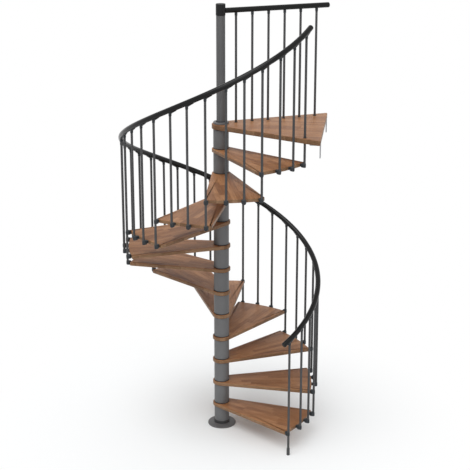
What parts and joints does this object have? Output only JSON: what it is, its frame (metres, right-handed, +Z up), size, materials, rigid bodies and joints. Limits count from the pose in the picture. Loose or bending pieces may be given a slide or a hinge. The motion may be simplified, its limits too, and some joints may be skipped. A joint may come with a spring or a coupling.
{
  "type": "spiral staircase",
  "caption": "Spiral stair kit: wooden treads on a steel centre pole, round handrail on balusters, wedge landing with its own rail.",
  "frame": {"origin": "on the pole's axis, at the underside of the base plate (floor level)", "axes": "+Z up; +X from the pole along the landing's middle line to its outer edge; the treads climb anticlockwise seen from above"},
  "size_m": [1.7548, 1.745, 3.822],
  "materials": {
    "wood": "satin lacquer on finger-jointed staves",
    "pole_paint": "fine powder coat",
    "newel_paint": "fine powder coat",
    "baluster_paint": "fine powder coat",
    "handrail": "smooth, low sheen",
    "black_plastic": "moulded, matt",
    "clip_plastic": "moulded, matt",
    "bracket_steel": "zinc grey"
  },
  "bodies": {
    "root": {"baluster_clips_1": "clip_plastic", "baluster_clips_2": "clip_plastic", "baluster_clips_3": "clip_plastic", "base_collar": "black_plastic", "base_cover": "pole_paint", "base_plate": "pole_paint", "centre_pole": "newel_paint", "floor_baluster": "baluster_paint", "floor_foot": "baluster_paint", "handrail_ends": "handrail", "landing_balusters": "baluster_paint", "landing_board": "wood", "landing_brackets": "bracket_steel", "landing_collar": "pole_paint", "landing_grommets": "black_plastic", "landing_handrail": "handrail", "landing_rail_fittings": "clip_plastic", "newel_cap": "handrail", "newel_gasket": "black_plastic", "pole_washers": "black_plastic", "rail_fittings_1": "clip_plastic", "rail_fittings_2": "clip_plastic", "rail_fittings_3": "clip_plastic", "spacer_tubes": "pole_paint", "spiral_balusters_1": "baluster_paint", "spiral_balusters_2": "baluster_paint", "spiral_balusters_3": "baluster_paint", "spiral_handrail_1": "handrail", "spiral_handrail_2": "handrail", "spiral_handrail_3": "handrail", "spiral_handrail_4": "handrail", "spiral_handrail_5": "handrail", "spiral_handrail_6": "handrail", "tread_01": "wood", "tread_02": "wood", "tread_03": "wood", "tread_04": "wood", "tread_05": "wood", "tread_06": "wood", "tread_07": "wood", "tread_08": "wood", "tread_09": "wood", "tread_10": "wood", "tread_11": "wood", "tread_12": "wood"}
  },
  "joints": []
}
